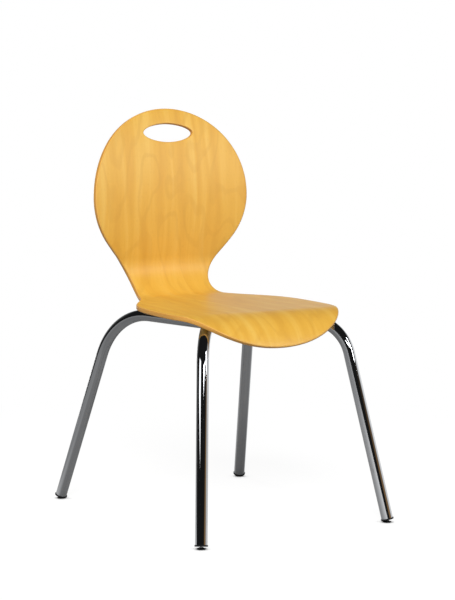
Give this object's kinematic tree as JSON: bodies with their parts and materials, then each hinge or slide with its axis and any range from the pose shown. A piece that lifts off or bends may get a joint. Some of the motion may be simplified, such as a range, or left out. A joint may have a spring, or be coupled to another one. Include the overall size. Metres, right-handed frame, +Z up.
{
  "type": "stacking chair",
  "caption": "Armless stacking chair: a waisted moulded plywood shell with a hand-hole in its round back, on a splayed chromed tube frame with tilting floor glides.",
  "frame": {"origin": "on the floor, midway between the feet, at the centre of the underside of the chair's box", "axes": "+Z up; the sitter faces -Y, so +X is the sitter's left and the back is at +Y"},
  "size_m": [0.5106, 0.6153, 0.8791],
  "materials": {
    "shell_wood": "satin clear lacquer over honey-coloured beech veneer, plies showing at the edges",
    "frame_chrome": "bright chrome plate",
    "spacer_plastic": "black moulded plastic",
    "fastener_steel": "bright zinc plate",
    "glide_plastic": "black moulded nylon",
    "stud_steel": "bright steel",
    "sole_plastic": "black moulded nylon, worn a little grey underneath"
  },
  "bodies": {
    "chair": {"seat_shell": "shell_wood", "front_leg_hoop": "frame_chrome", "rear_leg_tube_left": "frame_chrome", "rear_leg_tube_right": "frame_chrome", "front_seat_bar": "frame_chrome", "rear_seat_bar": "frame_chrome", "seat_spacer_front_left": "spacer_plastic", "seat_spacer_front_right": "spacer_plastic", "seat_spacer_rear_left": "spacer_plastic", "seat_spacer_rear_right": "spacer_plastic", "seat_inserts": "fastener_steel", "seat_washers": "fastener_steel", "seat_screws": "fastener_steel", "glide_plug_front_left": "glide_plastic", "glide_plug_front_right": "glide_plastic", "glide_plug_rear_left": "glide_plastic", "glide_plug_rear_right": "glide_plastic"},
    "glide_front_left": {"glide_stud_front_left": "stud_steel", "glide_sole_front_left": "sole_plastic"},
    "glide_front_right": {"glide_stud_front_right": "stud_steel", "glide_sole_front_right": "sole_plastic"},
    "glide_rear_left": {"glide_stud_rear_left": "stud_steel", "glide_sole_rear_left": "sole_plastic"},
    "glide_rear_right": {"glide_stud_rear_right": "stud_steel", "glide_sole_rear_right": "sole_plastic"}
  },
  "joints": [
    {"name": "glide_tilt_front_left", "type": "hinge", "parent": "chair", "child": "glide_front_left", "pos_m": [0.23535, -0.29347, 0.00883], "axis": [0.8345, 0.551, 0], "range_deg": [-34.9, 6.1]},
    {"name": "glide_tilt_front_right", "type": "hinge", "parent": "chair", "child": "glide_front_right", "pos_m": [-0.23535, -0.29347, 0.00883], "axis": [0.8345, -0.551, 0], "range_deg": [-34.9, 6.1]},
    {"name": "glide_tilt_rear_left", "type": "hinge", "parent": "chair", "child": "glide_rear_left", "pos_m": [0.24111, 0.29356, 0.00883], "axis": [-0.91, 0.4146, 0], "range_deg": [-39.94, 1.06]},
    {"name": "glide_tilt_rear_right", "type": "hinge", "parent": "chair", "child": "glide_rear_right", "pos_m": [-0.24111, 0.29356, 0.00883], "axis": [-0.91, -0.4146, 0], "range_deg": [-39.94, 1.06]}
  ]
}
